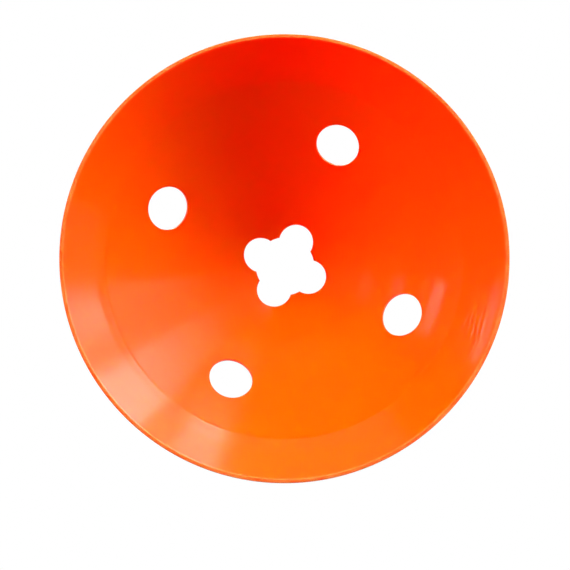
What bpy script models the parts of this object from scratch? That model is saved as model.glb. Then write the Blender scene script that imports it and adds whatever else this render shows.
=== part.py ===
"""Training cone with holes: one soft moulded shell that stands on its open rim.

Units are metres and +Z is up. The origin is the middle of the ground that the rim stands on.
The four side holes and the four lobes of the top mouth share the same four directions, +X, +Y, -X and -Y.
"""
import math

import bmesh
import bpy
from mathutils import Matrix, Vector

# Rim, the edge that stands on the ground
RIM_RADIUS = 0.146
RIM_LAND = 0.0005
RIM_ROUND = 0.0002

# Wall thickness, the same all over and measured square to the wall
WALL = 0.0019

# Skirt, the steep band above the rim, measured on the outside
SKIRT_RUN = 0.022
SKIRT_RISE = 0.0215

# Crease, the soft bend where the skirt turns into the crown, measured on the inside
CREASE_ROUND = 0.040

# Crown, the long straight slope from the crease up to the mouth, measured on the outside
CROWN_RISE = 0.071

# Mouth, the clover cut through the top along the cone's axis
MOUTH_RADIUS = 0.0213
LOBE_RADIUS = 0.0125
LOBE_OFFSET = 0.019

# Side holes, bored square to the crown's wall, at this distance up the slope from the crease
SIDE_HOLE_RADIUS = 0.015
SIDE_HOLE_CLIMB = 0.042

# How many side holes, and lobes in line with them
HOLE_COUNT = 4

# How far each cutter runs past the wall that it cuts
OVERRUN = 0.010

# Facets
TURN_STEPS = 128
CREASE_STEPS = 4
RIM_STEPS = 2
BORE_STEPS = 64
SHARP_ANGLE = math.radians(30.0)

# Every cutter is turned by half of the wall's facet step, so that no edge of it meets an edge of the wall
CUTTER_TURN = math.pi / TURN_STEPS

# Shares of a size
CORE_SHARE = 0.5

# Colour and gloss of the moulded plastic
ORANGE_LINEAR = (1.0, 0.090, 0.004, 1.0)
ORANGE_ROUGHNESS = 0.25


def normal_of(start, end):
    """Outward normal of a wall line that climbs inward from start to end, in the (radius, height) plane."""
    run = start[0] - end[0]
    rise = end[1] - start[1]
    length = math.hypot(run, rise)
    return (rise / length, run / length)


def stepped(point, direction, distance):
    """The point that lies a distance away from another in a direction."""
    return (point[0] + direction[0] * distance, point[1] + direction[1] * distance)


def rounded_corner(before, corner, after, radius, steps):
    """Points of the arc that rounds a corner of an outline."""
    to_before = Vector(before) - Vector(corner)
    to_after = Vector(after) - Vector(corner)
    half = to_before.angle(to_after) / 2
    tangent = radius / math.tan(half)
    bisector = (to_before.normalized() + to_after.normalized()).normalized()
    centre = Vector(corner) + bisector * (radius / math.sin(half))
    first = Vector(corner) + to_before.normalized() * tangent - centre
    last = Vector(corner) + to_after.normalized() * tangent - centre
    sweep = first.angle_signed(last)
    points = []
    for step in range(steps + 1):
        spoke = first.copy()
        spoke.rotate(Matrix.Rotation(-sweep * step / steps, 2))
        points.append(tuple(centre + spoke))
    return points


def wall_lines():
    """The corners of the wall in the (radius, height) plane, from the driving sizes."""
    land_top = (RIM_RADIUS, RIM_LAND)
    crease = (land_top[0] - SKIRT_RUN, land_top[1] + SKIRT_RISE)
    mouth_edge = (MOUTH_RADIUS, crease[1] + CROWN_RISE)
    skirt_normal = normal_of(land_top, crease)
    crown_normal = normal_of(crease, mouth_edge)
    return land_top, crease, mouth_edge, skirt_normal, crown_normal


def shell_outline():
    """The closed outline of the wall, up the outside and down the inside.

    The crown runs on past the mouth's edge to a small core, which the mouth's cutter takes away.
    """
    land_top, crease, mouth_edge, skirt_normal, crown_normal = wall_lines()
    crown_slope = crown_normal[0] / crown_normal[1]
    skirt_slope = skirt_normal[0] / skirt_normal[1]
    core_radius = MOUTH_RADIUS * CORE_SHARE
    core_top = (core_radius, mouth_edge[1] + (MOUTH_RADIUS - core_radius) * crown_slope)
    core_base = (core_radius, core_top[1] - WALL / crown_normal[1])

    both = (skirt_normal[0] + crown_normal[0], skirt_normal[1] + crown_normal[1])
    spread = 1 + skirt_normal[0] * crown_normal[0] + skirt_normal[1] * crown_normal[1]
    inner_crease = stepped(crease, both, -WALL / spread)
    skirt_inside = stepped(land_top, skirt_normal, -WALL)
    foot = (skirt_inside[0] + skirt_inside[1] / skirt_slope, 0)
    toe = (RIM_RADIUS, 0)

    outline = [core_base, core_top]
    outline += rounded_corner(core_top, crease, land_top, CREASE_ROUND + WALL, CREASE_STEPS)
    outline += [land_top]
    outline += rounded_corner(land_top, toe, foot, RIM_ROUND, RIM_STEPS)
    outline += rounded_corner(toe, foot, inner_crease, RIM_ROUND, RIM_STEPS)
    outline += rounded_corner(foot, inner_crease, core_base, CREASE_ROUND, CREASE_STEPS)
    return outline


def turned(name, outline):
    """An object made by turning a closed outline once about the cone's axis."""
    mesh = bpy.data.meshes.new(name)
    form = bmesh.new()
    corners = [form.verts.new((radius, 0, height)) for radius, height in outline]
    edges = [form.edges.new((corners[i - 1], corners[i])) for i in range(len(corners))]
    bmesh.ops.spin(
        form,
        geom=corners + edges,
        cent=(0, 0, 0),
        axis=(0, 0, 1),
        angle=math.tau,
        steps=TURN_STEPS,
        use_merge=True,
    )
    bmesh.ops.recalc_face_normals(form, faces=form.faces[:])
    form.to_mesh(mesh)
    form.free()
    mesh.shade_smooth()
    mesh.set_sharp_from_angle(angle=SHARP_ANGLE)
    body = bpy.data.objects.new(name, mesh)
    bpy.context.collection.objects.link(body)
    return body


def bore_cutter(name, radius, base, tip):
    """A hidden round bar from base to tip, which cuts a bore of its own radius."""
    mesh = bpy.data.meshes.new(name)
    form = bmesh.new()
    bmesh.ops.create_cone(
        form,
        cap_ends=True,
        segments=BORE_STEPS,
        radius1=radius,
        radius2=radius,
        depth=(tip - base).length,
        matrix=Matrix.Rotation(CUTTER_TURN, 4, "Z"),
    )
    form.to_mesh(mesh)
    form.free()
    cutter = bpy.data.objects.new(name, mesh)
    cutter.location = (base + tip) / 2
    cutter.rotation_mode = "QUATERNION"
    cutter.rotation_quaternion = (tip - base).to_track_quat("Z", "Y")
    cutter.hide_render = True
    cutter.display_type = "WIRE"
    bpy.context.collection.objects.link(cutter)
    return cutter


def cut(body, cutter):
    """Take a cutter's form out of a body."""
    modifier = body.modifiers.new(cutter.name, "BOOLEAN")
    modifier.operation = "DIFFERENCE"
    modifier.solver = "EXACT"
    modifier.object = cutter


def hole_directions():
    """Level unit vectors towards the side holes and the lobes."""
    for index in range(HOLE_COUNT):
        angle = math.tau * index / HOLE_COUNT
        yield index, Vector((math.cos(angle), math.sin(angle), 0))


def mouth_cutters():
    """The mouth's round middle and its lobes, which reach from the open inside to above the top."""
    top = wall_lines()[2][1] + OVERRUN + WALL
    axis_base = Vector((0, 0, 0))
    axis_tip = Vector((0, 0, top + MOUTH_RADIUS))
    yield bore_cutter("mouth_middle_cutter", MOUTH_RADIUS, axis_base, axis_tip)
    for index, outward in hole_directions():
        side = outward * LOBE_OFFSET
        yield bore_cutter("mouth_lobe_cutter_%d" % index, LOBE_RADIUS, axis_base + side, axis_tip + side)


def side_hole_cutters():
    """One bar for each side hole, square to the crown's wall."""
    crease, mouth_edge, crown_normal = wall_lines()[1], wall_lines()[2], wall_lines()[4]
    up_slope = (-crown_normal[1], crown_normal[0])
    radius, height = stepped(crease, up_slope, SIDE_HOLE_CLIMB)
    for index, outward in hole_directions():
        centre = outward * radius + Vector((0, 0, height))
        normal = outward * crown_normal[0] + Vector((0, 0, crown_normal[1]))
        base = centre - normal * (WALL + OVERRUN)
        tip = centre + normal * OVERRUN
        yield bore_cutter("side_hole_cutter_%d" % index, SIDE_HOLE_RADIUS, base, tip)


def moulded_orange():
    """The glossy orange plastic of the shell."""
    material = bpy.data.materials.new("moulded_orange")
    material.use_nodes = True
    shader = material.node_tree.nodes["Principled BSDF"]
    shader.inputs["Base Color"].default_value = ORANGE_LINEAR
    shader.inputs["Roughness"].default_value = ORANGE_ROUGHNESS
    shader.inputs["Metallic"].default_value = 0.0
    material.diffuse_color = ORANGE_LINEAR
    return material


def cone_shell():
    """The whole cone: a turned wall with its mouth and side holes cut through."""
    shell = turned("cone_shell", shell_outline())
    shell.data.materials.append(moulded_orange())
    for cutter in mouth_cutters():
        cut(shell, cutter)
    for cutter in side_hole_cutters():
        cut(shell, cutter)
    return shell


def clear_scene():
    """Remove every object that the file opened with."""
    for old in list(bpy.data.objects):
        bpy.data.objects.remove(old, do_unlink=True)


clear_scene()
cone_shell()
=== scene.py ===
"""The training cone's finished look: its shell as it left the mould, and a plain studio round it.

Lengths are metres and angles are degrees. +Z is up, and the rim stands on the ground at height zero.
"""

import logging
import math
from collections.abc import Callable
from dataclasses import dataclass
from enum import Enum, IntEnum
from typing import Any

import bmesh
import bpy
from mathutils import Euler, Matrix, Vector


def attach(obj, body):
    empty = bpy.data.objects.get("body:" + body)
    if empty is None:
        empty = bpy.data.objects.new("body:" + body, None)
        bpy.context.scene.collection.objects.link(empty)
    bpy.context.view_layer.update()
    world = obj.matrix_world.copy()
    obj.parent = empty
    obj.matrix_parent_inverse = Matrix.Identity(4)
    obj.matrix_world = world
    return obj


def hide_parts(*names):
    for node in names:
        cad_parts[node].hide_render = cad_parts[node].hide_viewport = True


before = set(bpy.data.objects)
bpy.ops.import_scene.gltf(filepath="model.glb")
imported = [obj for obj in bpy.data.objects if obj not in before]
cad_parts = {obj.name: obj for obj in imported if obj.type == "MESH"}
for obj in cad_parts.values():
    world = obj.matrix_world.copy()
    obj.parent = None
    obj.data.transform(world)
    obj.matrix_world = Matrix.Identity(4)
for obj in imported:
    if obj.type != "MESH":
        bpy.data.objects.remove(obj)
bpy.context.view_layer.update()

log = logging.getLogger("cone")

Point = tuple[float, float]

# Waves in each metre that a wave texture draws at a scale of one
WAVES_PER_METRE = 20 / math.tau

# Watts for each square metre of a lamp whose face looks as bright as white
LAMP_POWER = 4.0

# Decimals that keep a length in metres to the micrometre
LENGTH_DECIMALS = 6


class Affect(Enum):
    """What a bevel rounds."""

    CORNERS = "VERTICES"
    EDGES = "EDGES"


class Pick(Enum):
    """What is selected in edit mode."""

    CORNERS = "VERT"
    EDGES = "EDGE"


class Mix(IntEnum):
    """The inputs of a Mix node, which share their names."""

    SHARE = 0
    FIRST_NUMBER = 2
    SECOND_NUMBER = 3
    FIRST_COLOUR = 6
    SECOND_COLOUR = 7


class Mixed(IntEnum):
    """The outputs of a Mix node, which share their name."""

    NUMBER = 0
    COLOUR = 2


class Gloss(Enum):
    """Whether a lamp shows as a bright shape in a glossy surface."""

    MIRRORED = True
    UNSEEN = False


def to_linear(hex_colour: str) -> tuple[float, float, float, float]:
    """Turn an sRGB hex colour into a linear one.

    Args:
        hex_colour: Six hex digits, red first.

    Returns:
        Linear red, green, blue and an alpha of one.
    """
    shares = [int(hex_colour[i:i + 2], 16) / 255 for i in (0, 2, 4)]
    red, green, blue = (s / 12.92 if s <= 0.04045 else ((s + 0.055) / 1.055) ** 2.4 for s in shares)
    return red, green, blue, 1.0


def add_node(
    tree: bpy.types.NodeTree,
    kind: str,
    settings: dict[str, Any] | None = None,
    inputs: dict[str | int, Any] | None = None,
) -> bpy.types.Node:
    """Add one node with its settings, values and links.

    Args:
        tree: The tree that the node joins.
        kind: The node's type name.
        settings: Properties of the node.
        inputs: A value, or an output socket to link, for each input by name or number.

    Returns:
        The new node.
    """
    node = tree.nodes.new(kind)
    for name, value in (settings or {}).items():
        setattr(node, name, value)
    for name, value in (inputs or {}).items():
        if isinstance(value, bpy.types.NodeSocket):
            tree.links.new(value, node.inputs[name])
        else:
            node.inputs[name].default_value = value
    return node


def select(
    piece: bpy.types.Object,
    pick: Pick,
    wanted: Callable[[bmesh.types.BMVert | bmesh.types.BMEdge], bool],
) -> int:
    """Select the corners or the edges of the mesh in edit mode that pass a test.

    Args:
        piece: The object in edit mode.
        pick: Whether corners or edges are selected.
        wanted: The test, given a corner or an edge.

    Returns:
        How many passed.
    """
    bpy.ops.mesh.select_mode(type=pick.value)
    bpy.ops.mesh.select_all(action="DESELECT")
    form = bmesh.from_edit_mesh(piece.data)
    elements = form.verts if pick is Pick.CORNERS else form.edges
    chosen = [element for element in elements if wanted(element)]
    for element in chosen:
        element.select = True
    form.select_flush_mode()
    bmesh.update_edit_mesh(piece.data)
    return len(chosen)


@dataclass(frozen=True)
class Grain:
    """A cloudy pattern: the size of its patches, how finely and roughly they break up, and its height."""

    size: float
    detail: float
    roughness: float
    height: float = 0.0


@dataclass(frozen=True)
class Ripple:
    """A pattern of level rings round the cone: its pitch, how far its rings wander, and its height."""

    pitch: float
    wander: float
    detail: float
    detail_scale: float
    height: float


@dataclass(frozen=True)
class MouldedPolyethylene:
    """Low-density polyethylene, injection moulded with its orange pigment all through.

    It is soft and waxy, so light sinks in a little and comes out redder. The polished mould left it glossy,
    with slow waves where the hot plastic flowed and cooled unevenly.
    """

    name: str = "moulded_orange"
    index: float = 1.51

    # Pigment, with a slightly redder cloud through it, and a paler colour on the lip, which stands partly for
    # rubbed plastic and partly for a painted sheen of the lit lip
    body_colour: str = "FD5300"
    cloud_colour: str = "FA4C00"
    lip_wear_and_sheen_colour: str = "FF7D3C"
    clouds: Grain = Grain(0.060, 2.0, 0.5)

    # Polish, as roughness, which comes and goes over the stretch of its pattern between low and high
    smoothest: float = 0.12
    dullest: float = 0.20
    polish: Grain = Grain(0.030, 4.0, 0.65)
    pattern_low: float = 0.3
    pattern_high: float = 0.7

    # Glow, the light that sinks into the plastic, where red travels farthest
    glow_share: float = 1.0
    glow_depth: float = 0.0100
    glow_reach: tuple[float, float, float] = (1.0, 0.04, 0.02)

    # The mould's surface
    flow: Grain = Grain(0.030, 1.0, 0.4, 0.000060)
    peel: Grain = Grain(0.007, 2.0, 0.5, 0.000008)
    turning: Ripple = Ripple(0.0052, 1.2, 2.0, 0.4, 0.000007)

    # Scuffs in one round spot on the skirt, at full depth over the core's share of its reach
    scuffs: Ripple = Ripple(0.0028, 6.0, 3.0, 0.45, 0.000060)
    scuff_place: tuple[float, float, float] = (0.1326, -0.0120, 0.012)
    scuff_reach: float = 0.013
    scuff_core: float = 0.4

    # Paler lip, partly wear and partly a painted sheen, as high up as it rubs the ground
    lip_wear_and_sheen_height: float = 0.0012
    lip_wear_and_sheen: Grain = Grain(0.014, 3.0, 0.6)
    least_pale: float = 0.25
    most_pale: float = 0.85

    def material(self) -> bpy.types.Material:
        """Build the plastic.

        Returns:
            The material, which reads the piece's own coordinates.
        """
        material = bpy.data.materials.new(self.name)
        material.use_nodes = True
        tree = material.node_tree
        shader = tree.nodes["Principled BSDF"]
        place = add_node(tree, "ShaderNodeTexCoord").outputs["Object"]
        apart = add_node(tree, "ShaderNodeSeparateXYZ", inputs={0: place})
        self.colour(tree, shader, place, apart)
        self.gloss(tree, shader, place)
        self.relief(tree, shader, place)
        shader.inputs["IOR"].default_value = self.index
        shader.inputs["Metallic"].default_value = 0.0
        shader.inputs["Subsurface Weight"].default_value = self.glow_share
        shader.inputs["Subsurface Radius"].default_value = self.glow_reach
        shader.inputs["Subsurface Scale"].default_value = self.glow_depth
        material.diffuse_color = to_linear(self.body_colour)
        return material

    def colour(
        self,
        tree: bpy.types.NodeTree,
        shader: bpy.types.Node,
        place: bpy.types.NodeSocket,
        apart: bpy.types.Node,
    ) -> None:
        """Vary the orange a little, as unevenly mixed pigment does, and pale it on the lip, partly for rubbing
        and partly as a painted sheen of the light that the lip catches.

        Args:
            tree: The material's nodes.
            shader: The shader that takes the colour.
            place: The piece's own coordinates.
            apart: The same, split into x, y and z.
        """
        clouds = add_node(
            tree, "ShaderNodeTexNoise",
            inputs={
                "Vector": place, "Scale": 1 / self.clouds.size,
                "Detail": self.clouds.detail, "Roughness": self.clouds.roughness,
            },
        )
        cloudy = add_node(
            tree, "ShaderNodeMix", {"data_type": "RGBA"},
            {
                Mix.SHARE: clouds.outputs["Fac"],
                Mix.FIRST_COLOUR: to_linear(self.body_colour),
                Mix.SECOND_COLOUR: to_linear(self.cloud_colour),
            },
        )
        # The lip is paled all round: partly rubbing wear, partly a painted sheen that stands for the light the
        # rounded lip catches
        near_ground = add_node(
            tree, "ShaderNodeMapRange", {"interpolation_type": "SMOOTHSTEP"},
            {"Value": apart.outputs["Z"], "From Min": self.lip_wear_and_sheen_height, "From Max": 0.0},
        )
        lip_patches = add_node(
            tree, "ShaderNodeTexNoise",
            inputs={
                "Vector": place, "Scale": 1 / self.lip_wear_and_sheen.size,
                "Detail": self.lip_wear_and_sheen.detail, "Roughness": self.lip_wear_and_sheen.roughness,
            },
        )
        wear_and_sheen_share = add_node(
            tree, "ShaderNodeMapRange", {},
            {
                "Value": lip_patches.outputs["Fac"], "From Min": self.pattern_low, "From Max": self.pattern_high,
                "To Min": self.least_pale, "To Max": self.most_pale,
            },
        )
        pale_lip_share = add_node(
            tree, "ShaderNodeMath", {"operation": "MULTIPLY"},
            {0: near_ground.outputs["Result"], 1: wear_and_sheen_share.outputs["Result"]},
        )
        pale = add_node(
            tree, "ShaderNodeMix", {"data_type": "RGBA"},
            {
                Mix.SHARE: pale_lip_share.outputs["Value"],
                Mix.FIRST_COLOUR: cloudy.outputs[Mixed.COLOUR],
                Mix.SECOND_COLOUR: to_linear(self.lip_wear_and_sheen_colour),
            },
        )
        tree.links.new(pale.outputs[Mixed.COLOUR], shader.inputs["Base Color"])

    def gloss(self, tree: bpy.types.NodeTree, shader: bpy.types.Node, place: bpy.types.NodeSocket) -> None:
        """Let the polish come and go in soft patches, so that reflections are sharper in some places.

        Args:
            tree: The material's nodes.
            shader: The shader that takes the roughness.
            place: The piece's own coordinates.
        """
        patches = add_node(
            tree, "ShaderNodeTexNoise",
            inputs={
                "Vector": place, "Scale": 1 / self.polish.size,
                "Detail": self.polish.detail, "Roughness": self.polish.roughness,
            },
        )
        rough = add_node(
            tree, "ShaderNodeMapRange", {},
            {
                "Value": patches.outputs["Fac"], "From Min": self.pattern_low, "From Max": self.pattern_high,
                "To Min": self.smoothest, "To Max": self.dullest,
            },
        )
        tree.links.new(rough.outputs["Result"], shader.inputs["Roughness"])

    def relief(self, tree: bpy.types.NodeTree, shader: bpy.types.Node, place: bpy.types.NodeSocket) -> None:
        """Add the surface that the mould left: slow flow waves, peel and turning marks, then the scuffs.

        Turning marks in a mould are usually too fine to show at this size, so they are drawn coarser.

        Args:
            tree: The material's nodes.
            shader: The shader that takes the bumped normal.
            place: The piece's own coordinates.
        """
        flow = add_node(
            tree, "ShaderNodeTexNoise",
            inputs={
                "Vector": place, "Scale": 1 / self.flow.size,
                "Detail": self.flow.detail, "Roughness": self.flow.roughness,
            },
        )
        waves = add_node(
            tree, "ShaderNodeBump", {},
            {"Strength": 1.0, "Distance": self.flow.height, "Height": flow.outputs["Fac"]},
        )
        peel = add_node(
            tree, "ShaderNodeTexNoise",
            inputs={
                "Vector": place, "Scale": 1 / self.peel.size,
                "Detail": self.peel.detail, "Roughness": self.peel.roughness,
            },
        )
        peeled = add_node(
            tree, "ShaderNodeBump", {},
            {
                "Strength": 1.0, "Distance": self.peel.height,
                "Height": peel.outputs["Fac"], "Normal": waves.outputs["Normal"],
            },
        )
        turning = add_node(
            tree, "ShaderNodeTexWave", {"wave_type": "RINGS", "rings_direction": "Z"},
            {
                "Vector": place, "Scale": 1 / (self.turning.pitch * WAVES_PER_METRE),
                "Distortion": self.turning.wander,
                "Detail": self.turning.detail, "Detail Scale": self.turning.detail_scale,
            },
        )
        turned = add_node(
            tree, "ShaderNodeBump", {},
            {
                "Strength": 1.0, "Distance": self.turning.height,
                "Height": turning.outputs["Fac"], "Normal": peeled.outputs["Normal"],
            },
        )
        tree.links.new(self.scuff(tree, place, turned.outputs["Normal"]), shader.inputs["Normal"])

    def scuff(
        self,
        tree: bpy.types.NodeTree,
        place: bpy.types.NodeSocket,
        normal: bpy.types.NodeSocket,
    ) -> bpy.types.NodeSocket:
        """Add short wavy scuffs in one spot on the skirt, where something has rubbed it.

        Scuffs finer than this pitch would be too small to show, so only coarse ones are drawn.

        Args:
            tree: The material's nodes.
            place: The piece's own coordinates.
            normal: The normal so far.

        Returns:
            The normal with the scuffs added.
        """
        away = add_node(
            tree, "ShaderNodeVectorMath", {"operation": "DISTANCE"}, {0: place, 1: self.scuff_place},
        )
        spot = add_node(
            tree, "ShaderNodeMapRange", {"interpolation_type": "SMOOTHSTEP"},
            {
                "Value": away.outputs["Value"],
                "From Min": self.scuff_reach, "From Max": self.scuff_reach * self.scuff_core,
            },
        )
        streaks = add_node(
            tree, "ShaderNodeTexWave", {"wave_type": "RINGS", "rings_direction": "Z"},
            {
                "Vector": place, "Scale": 1 / (self.scuffs.pitch * WAVES_PER_METRE),
                "Distortion": self.scuffs.wander,
                "Detail": self.scuffs.detail, "Detail Scale": self.scuffs.detail_scale,
            },
        )
        height = add_node(
            tree, "ShaderNodeMath", {"operation": "MULTIPLY"},
            {0: streaks.outputs["Fac"], 1: spot.outputs["Result"]},
        )
        scuffed = add_node(
            tree, "ShaderNodeBump", {},
            {
                "Strength": 1.0, "Distance": self.scuffs.height,
                "Height": height.outputs["Value"], "Normal": normal,
            },
        )
        return scuffed.outputs["Normal"]


@dataclass(frozen=True)
class Swell:
    """A shallow swell of the wall along an arc of a ring, such as uneven cooling leaves.

    Azimuth and span are the middle of the arc and its length, in degrees round the cone.
    """

    radius: float
    height: float
    reach: float
    azimuth: float
    span: float

    def lies_along(self, place: Vector, band: float) -> bool:
        """Tell whether a place lies along the swell's arc.

        Args:
            place: The place.
            band: How far off the arc's ring it may lie.

        Returns:
            Whether it lies along the arc.
        """
        off_ring = math.hypot(place.x, place.y) - self.radius
        turn = math.atan2(place.y, place.x) - math.radians(self.azimuth)
        off_middle = (turn + math.pi) % math.tau - math.pi
        return abs(off_ring) < band and abs(off_middle) < math.radians(self.span / 2)


@dataclass
class ConeShell:
    """The whole cone: one thin conical wall with a clover mouth and round side holes."""

    finish: MouldedPolyethylene
    name: str = "cone_wall"

    # Rim, whose radius is a micrometre under the solid's, so that no rounding carries it past the solid's box
    rim_radius: float = 0.145999
    rim_land: float = 0.0005
    toe_round: float = 0.00048
    foot_round: float = 0.00012

    # Wall, measured square to itself
    wall: float = 0.0019

    # Skirt and crown, measured on the outside
    skirt_run: float = 0.022
    skirt_rise: float = 0.0215
    crown_rise: float = 0.071

    # Crease, a short bend next to the crown and a slow one next to the skirt, rounded on the inside
    crease_span: float = 0.009
    upper_bend_share: float = 0.6
    upper_bend_round: float = 0.015
    lower_bend_round: float = 0.080

    # Mouth and side holes
    mouth_radius: float = 0.0213
    lobe_radius: float = 0.0125
    lobe_offset: float = 0.019
    side_hole_radius: float = 0.015
    side_hole_climb: float = 0.042
    hole_count: int = 4

    # The crown runs on to a small core, which the mouth takes away, and each bar runs past the wall
    core_share: float = 0.5
    overrun: float = 0.010

    # Facets
    turn_steps: int = 360
    bore_steps: int = 128
    line_step: float = 0.0026
    bend_steps: int = 4
    toe_steps: int = 4
    foot_steps: int = 2

    # Cut edges, eased where they turn by more than the sharp angle and lie above the rim's zone. What is
    # shorter than the short edge is merged first, to give the bevel room, and what is closer than a speck last
    cut_round: float = 0.00010
    cut_steps: int = 2
    sharp_angle: float = 45.0
    rim_zone: float = 0.002
    short_edge: float = 0.00014
    speck: float = 0.000003

    # Corners closer than this are one, and faces that meet at less than the smooth angle shade as one
    weld: float = 0.00004
    smooth_angle: float = 40.0

    # Swells on one side, which break up what the wall mirrors there
    swells: tuple[Swell, ...] = (
        Swell(0.0643, 0.00036, 0.0120, -6.0, 22.0),
        Swell(0.0860, 0.00030, 0.0120, -6.0, 22.0),
        Swell(0.1110, 0.00026, 0.0125, -6.0, 22.0),
        Swell(0.1365, 0.00024, 0.0095, -6.0, 22.0),
    )

    def wall_lines(self) -> tuple[Point, Point, Point, Point, Point]:
        """Work out the outside of the wall in the (radius, height) plane.

        Returns:
            The top of the rim's land, the crease, the mouth's edge, and the skirt's and crown's normals.
        """
        land_top = (self.rim_radius, self.rim_land)
        crease = (land_top[0] - self.skirt_run, land_top[1] + self.skirt_rise)
        mouth_edge = (self.mouth_radius, crease[1] + self.crown_rise)
        normals = []
        for low, high in ((land_top, crease), (crease, mouth_edge)):
            run, rise = low[0] - high[0], high[1] - low[1]
            length = math.hypot(run, rise)
            normals.append((rise / length, run / length))
        return land_top, crease, mouth_edge, normals[0], normals[1]

    def bend_turns(self) -> tuple[float, float]:
        """Share the turn from crown to skirt between the two bends.

        Returns:
            The upper and the lower bend's turn, in radians.
        """
        skirt, crown = self.wall_lines()[3:]
        turn = math.atan2(*skirt) - math.atan2(*crown)
        return turn * self.upper_bend_share, turn * (1 - self.upper_bend_share)

    def crease_corners(self) -> tuple[Point, Point, Point]:
        """Split the crease into two bends, a short one next to the crown and a slow one next to the skirt.

        Returns:
            The upper and the lower corner on the outside, and the normal of the wall between them.
        """
        crease, skirt, crown = self.wall_lines()[1], *self.wall_lines()[3:]
        upper_turn, lower_turn = self.bend_turns()
        whole = math.sin(upper_turn + lower_turn)
        up = self.crease_span * math.sin(lower_turn) / whole
        down = self.crease_span * math.sin(upper_turn) / whole
        upper = (crease[0] - up * crown[1], crease[1] + up * crown[0])
        lower = (crease[0] + down * skirt[1], crease[1] - down * skirt[0])
        middle_turn = math.atan2(*crown) + upper_turn
        return upper, lower, (math.sin(middle_turn), math.cos(middle_turn))

    def inner(self, corner: Point, below: Point, above: Point) -> Point:
        """Find the inner corner opposite an outer one.

        Args:
            corner: The outer corner.
            below: The normal of the wall under the corner.
            above: The normal of the wall over the corner.

        Returns:
            The inner corner, one wall away from both lines.
        """
        spread = 1 + below[0] * above[0] + below[1] * above[1]
        return (
            corner[0] - self.wall * (below[0] + above[0]) / spread,
            corner[1] - self.wall * (below[1] + above[1]) / spread,
        )

    def section(self) -> dict[str, Point]:
        """Work out the corners of the wall's section, up the outside and down the inside.

        Returns:
            Each corner's radius and height by name, in order round the section.
        """
        land_top, _, mouth_edge, skirt, crown = self.wall_lines()
        upper, lower, middle = self.crease_corners()
        core_radius = self.mouth_radius * self.core_share
        core_height = mouth_edge[1] + (self.mouth_radius - core_radius) * crown[0] / crown[1]
        inside = (land_top[0] - self.wall * skirt[0], land_top[1] - self.wall * skirt[1])
        foot = inside[0] + inside[1] * skirt[1] / skirt[0]
        return {
            "core_base": (core_radius, core_height - self.wall / crown[1]),
            "core_top": (core_radius, core_height),
            "upper_bend": upper,
            "lower_bend": lower,
            "land_top": land_top,
            "toe": (self.rim_radius, 0.0),
            "foot": (foot, 0.0),
            "inner_lower_bend": self.inner(lower, skirt, middle),
            "inner_upper_bend": self.inner(upper, middle, crown),
        }

    def draw_section(self) -> bpy.types.Object:
        """Draw the wall's section as one closed line, corner by corner, and round its corners.

        Returns:
            The section, in edit mode.
        """
        bpy.ops.mesh.primitive_plane_add(size=self.wall, location=(0, 0, 0))
        piece = bpy.context.active_object
        piece.name = self.name
        piece.data.name = self.name
        bpy.ops.object.mode_set(mode="EDIT")
        bpy.ops.mesh.select_all(action="SELECT")
        bpy.ops.mesh.merge(type="CENTER")
        corners = [Vector((radius, 0, height)) for radius, height in self.section().values()]
        bpy.ops.transform.translate(value=corners[0])
        for before, after in zip(corners, corners[1:] + corners[:1]):
            bpy.ops.mesh.extrude_region_move(TRANSFORM_OT_translate={"value": after - before})
        bpy.ops.mesh.select_all(action="SELECT")
        bpy.ops.mesh.remove_doubles(threshold=self.weld)
        bpy.ops.mesh.edge_face_add()
        self.round_corners(piece)
        bpy.ops.mesh.select_all(action="SELECT")
        bpy.ops.mesh.delete(type="ONLY_FACE")
        return piece

    def round_corners(self, piece: bpy.types.Object) -> None:
        """Round the section's crease and rim corners.

        Args:
            piece: The section, in edit mode.
        """
        section = self.section()
        upper, lower = (math.tan(turn / 2) for turn in self.bend_turns())
        rounds = {
            "upper_bend": ((self.upper_bend_round + self.wall) * upper, self.bend_steps),
            "inner_upper_bend": (self.upper_bend_round * upper, self.bend_steps),
            "lower_bend": ((self.lower_bend_round + self.wall) * lower, self.bend_steps),
            "inner_lower_bend": (self.lower_bend_round * lower, self.bend_steps),
            "toe": (self.toe_round, self.toe_steps),
            "foot": (self.foot_round, self.foot_steps),
        }
        for corner, (offset, steps) in rounds.items():
            radius, height = section[corner]
            place = Vector((radius, 0, height))
            select(piece, Pick.CORNERS, lambda end: (end.co - place).length < self.weld)
            bpy.ops.mesh.bevel(offset=offset, segments=steps, affect=Affect.CORNERS.value)

    def divide_lines(self, piece: bpy.types.Object) -> None:
        """Divide the long lines of the section into short steps.

        Args:
            piece: The section, in edit mode.
        """
        form = bmesh.from_edit_mesh(piece.data)
        lengths = {round(edge.calc_length(), LENGTH_DECIMALS) for edge in form.edges}
        for length in sorted(length for length in lengths if length > self.line_step * 2):
            select(piece, Pick.EDGES, lambda edge: abs(edge.calc_length() - length) < self.weld)
            bpy.ops.mesh.subdivide(number_cuts=round(length / self.line_step) - 1)

    def turn_section(self, piece: bpy.types.Object) -> None:
        """Turn the section once about the cone's axis and close the seam.

        Args:
            piece: The section, in edit mode.
        """
        bpy.ops.mesh.select_all(action="SELECT")
        bpy.ops.mesh.spin(steps=self.turn_steps, angle=math.tau, center=(0, 0, 0), axis=(0, 0, 1))
        bpy.ops.mesh.select_all(action="SELECT")
        bpy.ops.mesh.remove_doubles(threshold=self.weld)
        bpy.ops.mesh.normals_make_consistent(inside=False)

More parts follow.
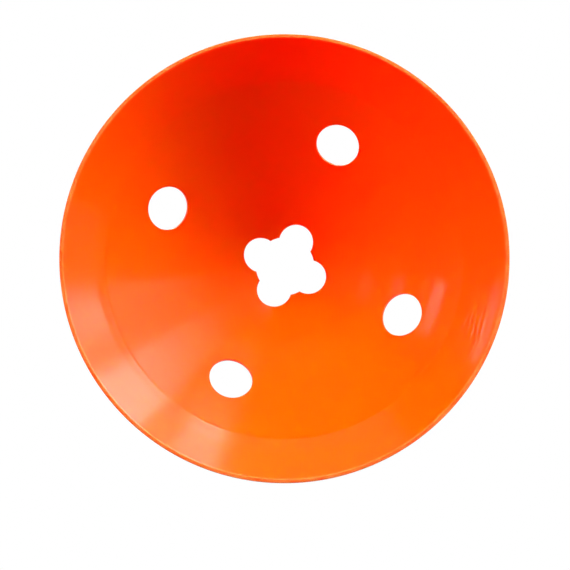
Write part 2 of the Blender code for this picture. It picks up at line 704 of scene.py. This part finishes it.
    def raise_swells(self, piece: bpy.types.Object) -> None:
        """Push both sides of the wall out a little along each swell.

        Args:
            piece: The turned wall, in edit mode.
        """
        crease, skirt, crown = self.wall_lines()[1], *self.wall_lines()[3:]
        for swell in self.swells:
            middle = math.radians(swell.azimuth)
            slope = crown if swell.radius < crease[0] else skirt
            normal = Vector((slope[0] * math.cos(middle), slope[0] * math.sin(middle), slope[1]))
            select(piece, Pick.CORNERS, lambda corner: swell.lies_along(corner.co, self.line_step / 2))
            bpy.ops.transform.translate(
                value=normal * swell.height,
                use_proportional_edit=True,
                proportional_edit_falloff="SMOOTH",
                proportional_size=swell.reach,
            )
        bpy.ops.object.mode_set(mode="OBJECT")

    def bore(self, piece: bpy.types.Object, radius: float, base: Vector, tip: Vector) -> None:
        """Bore a round hole through the wall.

        The bar that cuts it is turned by half of the wall's facet step, so that their edges never meet.

        Args:
            piece: The wall.
            radius: The hole's radius.
            base: The lower end of the bar that cuts the hole.
            tip: The bar's other end.
        """
        facing = (tip - base).to_track_quat("Z", "Y").to_matrix()
        turn = facing @ Matrix.Rotation(math.pi / self.turn_steps, 3, "Z")
        bpy.ops.mesh.primitive_cylinder_add(
            vertices=self.bore_steps,
            radius=radius,
            depth=(tip - base).length,
            location=(base + tip) / 2,
            rotation=turn.to_euler(),
        )
        bar = bpy.context.active_object
        bpy.context.view_layer.objects.active = piece
        cut = piece.modifiers.new("bore", "BOOLEAN")
        cut.operation = "DIFFERENCE"
        cut.solver = "EXACT"
        cut.object = bar
        bpy.ops.object.modifier_apply(modifier=cut.name)
        bpy.data.meshes.remove(bar.data)

    def outward(self, index: int) -> Vector:
        """Point level towards one side hole and its lobe."""
        return Vector((1, 0, 0)) @ Matrix.Rotation(-math.tau * index / self.hole_count, 3, "Z")

    def cut_mouth(self, piece: bpy.types.Object) -> None:
        """Cut the clover mouth: its round middle, then one lobe towards each side hole.

        Args:
            piece: The wall.
        """
        top = self.wall_lines()[2][1] + self.mouth_radius + self.overrun
        base, tip = Vector((0, 0, 0)), Vector((0, 0, top))
        self.bore(piece, self.mouth_radius, base, tip)
        for index in range(self.hole_count):
            aside = self.outward(index) * self.lobe_offset
            self.bore(piece, self.lobe_radius, base + aside, tip + aside)

    def cut_side_holes(self, piece: bpy.types.Object) -> None:
        """Bore the side holes square to the crown's wall.

        Args:
            piece: The wall.
        """
        crease, crown = self.wall_lines()[1], self.wall_lines()[4]
        radius = crease[0] - self.side_hole_climb * crown[1]
        height = crease[1] + self.side_hole_climb * crown[0]
        for index in range(self.hole_count):
            outward = self.outward(index)
            centre = outward * radius + Vector((0, 0, height))
            normal = outward * crown[0] + Vector((0, 0, crown[1]))
            self.bore(
                piece, self.side_hole_radius,
                centre - normal * (self.wall + self.overrun), centre + normal * self.overrun,
            )

    def is_off_rim(self, edge: bmesh.types.BMEdge) -> bool:
        """Tell whether an edge lies above the rim's own corners."""
        return min(end.co.z for end in edge.verts) > self.rim_zone

    def is_cut_edge(self, edge: bmesh.types.BMEdge) -> bool:
        """Tell whether an edge is a sharp one of the mouth or a side hole."""
        return self.is_off_rim(edge) and edge.calc_face_angle(0.0) > math.radians(self.sharp_angle)

    def soften_cuts(self, piece: bpy.types.Object) -> None:
        """Take the sharpness off the edges of the mouth and the holes, as a trimmed moulding has.

        Args:
            piece: The wall, with its holes cut.
        """
        bpy.ops.object.mode_set(mode="EDIT")
        bpy.ops.mesh.select_all(action="SELECT")
        bpy.ops.mesh.dissolve_degenerate(threshold=self.weld)
        select(piece, Pick.EDGES, self.is_off_rim)
        bpy.ops.mesh.dissolve_degenerate(threshold=self.short_edge)
        count = select(piece, Pick.EDGES, self.is_cut_edge)
        bpy.ops.mesh.bevel(
            offset=self.cut_round, segments=self.cut_steps, affect=Affect.EDGES.value, clamp_overlap=False,
        )
        bpy.ops.mesh.select_all(action="SELECT")
        bpy.ops.mesh.remove_doubles(threshold=self.speck)
        bpy.ops.object.mode_set(mode="OBJECT")
        log.info("%d edges of the mouth and the holes softened", count)

    def smooth(self, piece: bpy.types.Object) -> None:
        """Shade the wall as one smooth surface, led by its large faces.

        Args:
            piece: The wall.
        """
        bpy.ops.object.shade_smooth_by_angle(angle=math.radians(self.smooth_angle))
        even = piece.modifiers.new("even", "WEIGHTED_NORMAL")
        even.mode = "FACE_AREA"
        even.keep_sharp = True
        bpy.ops.object.modifier_apply(modifier=even.name)

    def dress(self, piece: bpy.types.Object) -> None:
        """Give the wall its plastic and its place in the part.

        Args:
            piece: The finished wall.
        """
        piece.data.materials.clear()
        piece.data.materials.append(self.finish.material())
        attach(piece, "root")
        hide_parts("cone_shell")

    def build(self) -> bpy.types.Object:
        """Model the whole cone.

        Returns:
            The finished piece.
        """
        bpy.ops.object.select_all(action="DESELECT")
        piece = self.draw_section()
        self.divide_lines(piece)
        self.turn_section(piece)
        self.raise_swells(piece)
        self.cut_mouth(piece)
        self.cut_side_holes(piece)
        self.soften_cuts(piece)
        self.smooth(piece)
        self.dress(piece)
        return piece


@dataclass(frozen=True)
class Lamp:
    """A flat rectangular lamp, placed by the direction that it shines from.

    Azimuth turns from +X towards +Y, and elevation is above the ground, or under it where negative.
    Width and height are the angles that the lamp spans, and radiance is set against white.
    """

    name: str
    azimuth: float
    elevation: float
    width: float
    height: float
    radiance: float
    gloss: Gloss = Gloss.MIRRORED
    distance: float = 4.0

    def add(self) -> None:
        """Add the lamp to the scene, facing the cone."""
        turn = Euler((0, -math.radians(self.elevation), math.radians(self.azimuth)))
        direction = turn.to_matrix() @ Vector((1, 0, 0))
        bpy.ops.object.light_add(type="AREA", location=direction * self.distance)
        lamp = bpy.context.active_object
        lamp.name = self.name
        lamp.rotation_euler = direction.to_track_quat("Z", "Y").to_euler()
        lamp.visible_camera = False
        lamp.visible_glossy = self.gloss.value
        light = lamp.data
        light.shape = "RECTANGLE"
        light.size = 2 * self.distance * math.tan(math.radians(self.width / 2))
        light.size_y = 2 * self.distance * math.tan(math.radians(self.height / 2))
        light.energy = LAMP_POWER * self.radiance * light.size * light.size_y


@dataclass(frozen=True)
class MattPaint:
    """Matt off-white paint, rolled on a studio floor, which shows as an even pale ground with no shine.

    It is clear from underneath, so that the camera sees up into the cone, and it fades out into the white
    backdrop between the two distances of its fade.
    """

    name: str = "painted_floor"
    colour: str = "F4F3F0"
    roughness: float = 0.9
    fade: tuple[float, float] = (0.5, 1.6)

    def material(self) -> bpy.types.Material:
        """Build the paint.

        Returns:
            The material, which reads the floor's own coordinates.
        """
        material = bpy.data.materials.new(self.name)
        material.use_nodes = True
        tree = material.node_tree
        shader = tree.nodes["Principled BSDF"]
        shader.inputs["Base Color"].default_value = to_linear(self.colour)
        shader.inputs["Roughness"].default_value = self.roughness
        shader.inputs["Specular IOR Level"].default_value = 0.0
        place = add_node(tree, "ShaderNodeTexCoord").outputs["Object"]
        distance = add_node(tree, "ShaderNodeVectorMath", {"operation": "LENGTH"}, {0: place})
        near, far = self.fade
        faded = add_node(
            tree, "ShaderNodeMapRange", {"interpolation_type": "SMOOTHSTEP"},
            {"Value": distance.outputs["Value"], "From Min": near, "From Max": far},
        )
        behind = add_node(tree, "ShaderNodeNewGeometry").outputs["Backfacing"]
        clear = add_node(
            tree, "ShaderNodeMath", {"operation": "MAXIMUM"}, {0: faded.outputs["Result"], 1: behind},
        )
        nothing = add_node(tree, "ShaderNodeBsdfTransparent")
        mixed = add_node(
            tree, "ShaderNodeMixShader", {},
            {0: clear.outputs["Value"], 1: shader.outputs["BSDF"], 2: nothing.outputs["BSDF"]},
        )
        tree.links.new(mixed.outputs["Shader"], tree.nodes["Material Output"].inputs["Surface"])
        return material


@dataclass
class Studio:
    """The plain pale floor, the soft light and the camera."""

    lamps: tuple[Lamp, ...]

    # Floor, a little under the rim so that the two never share a height
    floor_paint: MattPaint
    floor_size: float = 8.0
    floor_gap: float = 0.0003

    # World, as strengths against white: for the camera, for the light on the cone and for its gloss
    backdrop_colour: str = "FFFFFF"
    backdrop: float = 1.0
    overhead: float = 0.55
    underneath: float = 0.02
    mirrored_overhead: float = 0.7
    mirrored_underneath: float = 0.006
    horizon_blur: float = 0.06

    # Camera, with its lens and sensor in millimetres
    camera_place: tuple[float, float, float] = (0.02828568, 0.04948077, -0.699)
    camera_turn: tuple[float, float, float] = (-176.888, -0.376, -24.55)
    camera_lens: float = 68.35
    camera_sensor: float = 36.0

    def lay_floor(self) -> None:
        """Lay the floor under the rim, where it takes no part in the light on the cone."""
        bpy.ops.mesh.primitive_plane_add(size=self.floor_size, location=(0, 0, -self.floor_gap))
        floor = bpy.context.active_object
        floor.name = "floor"
        floor.data.materials.append(self.floor_paint.material())
        floor.visible_diffuse = False
        floor.visible_glossy = False
        floor.visible_transmission = False
        floor.visible_shadow = False

    def light_world(self) -> None:
        """Make the backdrop white, with soft light from overhead and a dim room underneath."""
        world = bpy.data.worlds.new("studio")
        bpy.context.scene.world = world
        world.use_nodes = True
        tree = world.node_tree
        backdrop = tree.nodes["Background"]
        direction = add_node(tree, "ShaderNodeTexCoord").outputs["Generated"]
        climb = add_node(tree, "ShaderNodeSeparateXYZ", inputs={0: direction}).outputs["Z"]
        up = add_node(
            tree, "ShaderNodeMapRange", {"interpolation_type": "SMOOTHSTEP"},
            {"Value": climb, "From Min": -self.horizon_blur, "From Max": self.horizon_blur},
        ).outputs["Result"]
        soft = add_node(
            tree, "ShaderNodeMix", {},
            {Mix.SHARE: up, Mix.FIRST_NUMBER: self.underneath, Mix.SECOND_NUMBER: self.overhead},
        ).outputs[Mixed.NUMBER]
        mirrored = add_node(
            tree, "ShaderNodeMix", {},
            {
                Mix.SHARE: up,
                Mix.FIRST_NUMBER: self.mirrored_underneath, Mix.SECOND_NUMBER: self.mirrored_overhead,
            },
        ).outputs[Mixed.NUMBER]
        path = add_node(tree, "ShaderNodeLightPath")
        bright_path = add_node(
            tree, "ShaderNodeMath", {"operation": "MAXIMUM"},
            {0: path.outputs["Is Glossy Ray"], 1: path.outputs["Is Transmission Ray"]},
        ).outputs["Value"]
        unseen = add_node(
            tree, "ShaderNodeMix", {},
            {Mix.SHARE: bright_path, Mix.FIRST_NUMBER: soft, Mix.SECOND_NUMBER: mirrored},
        ).outputs[Mixed.NUMBER]
        strength = add_node(
            tree, "ShaderNodeMix", {},
            {
                Mix.SHARE: path.outputs["Is Camera Ray"],
                Mix.FIRST_NUMBER: unseen, Mix.SECOND_NUMBER: self.backdrop,
            },
        ).outputs[Mixed.NUMBER]
        backdrop.inputs["Color"].default_value = to_linear(self.backdrop_colour)
        tree.links.new(strength, backdrop.inputs["Strength"])

    def place_camera(self) -> None:
        """Place the camera under the rim, looking up into the cone."""
        bpy.ops.object.camera_add(
            location=self.camera_place, rotation=[math.radians(turn) for turn in self.camera_turn],
        )
        camera = bpy.context.active_object
        camera.name = "camera"
        camera.data.sensor_width = self.camera_sensor
        camera.data.lens = self.camera_lens
        bpy.context.scene.camera = camera

    def build(self) -> None:
        """Set up the whole studio."""
        self.lay_floor()
        self.light_world()
        for lamp in self.lamps:
            lamp.add()
        self.place_camera()
        bpy.context.scene.view_settings.view_transform = "Standard"


# The windows, their frames and the pale walls are what the gloss mirrors. The fills light the cone unseen
LAMPS = (
    Lamp("overhead_softbox", 240.0, 42.0, 34.0, 34.0, 2.8),
    Lamp("low_window_left", 267.5, -12.25, 10.0, 10.5, 3.0),
    Lamp("low_window_middle", 290.5, -12.25, 15.5, 10.5, 4.4),
    Lamp("low_window_right", 313.0, -12.25, 11.0, 10.5, 1.3),
    Lamp("low_window_frame", 291.0, -12.25, 62.0, 10.5, 1.4),
    Lamp("high_window_left", 268.5, -33.5, 14.0, 15.5, 1.2),
    Lamp("high_window_middle", 290.0, -33.5, 16.5, 15.5, 3.0),
    Lamp("high_window_right", 311.5, -33.5, 19.0, 15.5, 0.75),
    Lamp("side_window_low", 178.0, -3.5, 13.0, 6.0, 2.9),
    Lamp("side_window_low_frame", 178.0, -3.5, 24.0, 6.0, 1.9),
    Lamp("side_window_high", 178.0, -36.0, 15.5, 9.0, 3.5),
    Lamp("pale_wall_near", 236.0, -13.0, 44.0, 12.0, 0.22),
    Lamp("pale_wall_far", 333.0, -13.0, 24.0, 12.0, 0.16),
    Lamp("fill_side", 190.0, -24.0, 36.0, 18.0, 9.2, Gloss.UNSEEN),
    Lamp("fill_steep", 240.0, -42.0, 36.0, 18.0, 7.6, Gloss.UNSEEN),
    Lamp("fill_main", 265.0, -24.0, 36.0, 18.0, 22.0, Gloss.UNSEEN),
    Lamp("fill_low", 315.0, -8.0, 36.0, 18.0, 13.3, Gloss.UNSEEN),
)


def main() -> None:
    """Build the cone and its studio."""
    logging.basicConfig(level=logging.INFO, format="%(message)s")
    shell = ConeShell(finish=MouldedPolyethylene())
    piece = shell.build()
    log.info("%s: %d faces", piece.name, len(piece.data.polygons))
    Studio(lamps=LAMPS, floor_paint=MattPaint()).build()


if __name__ == "__main__":
    main()
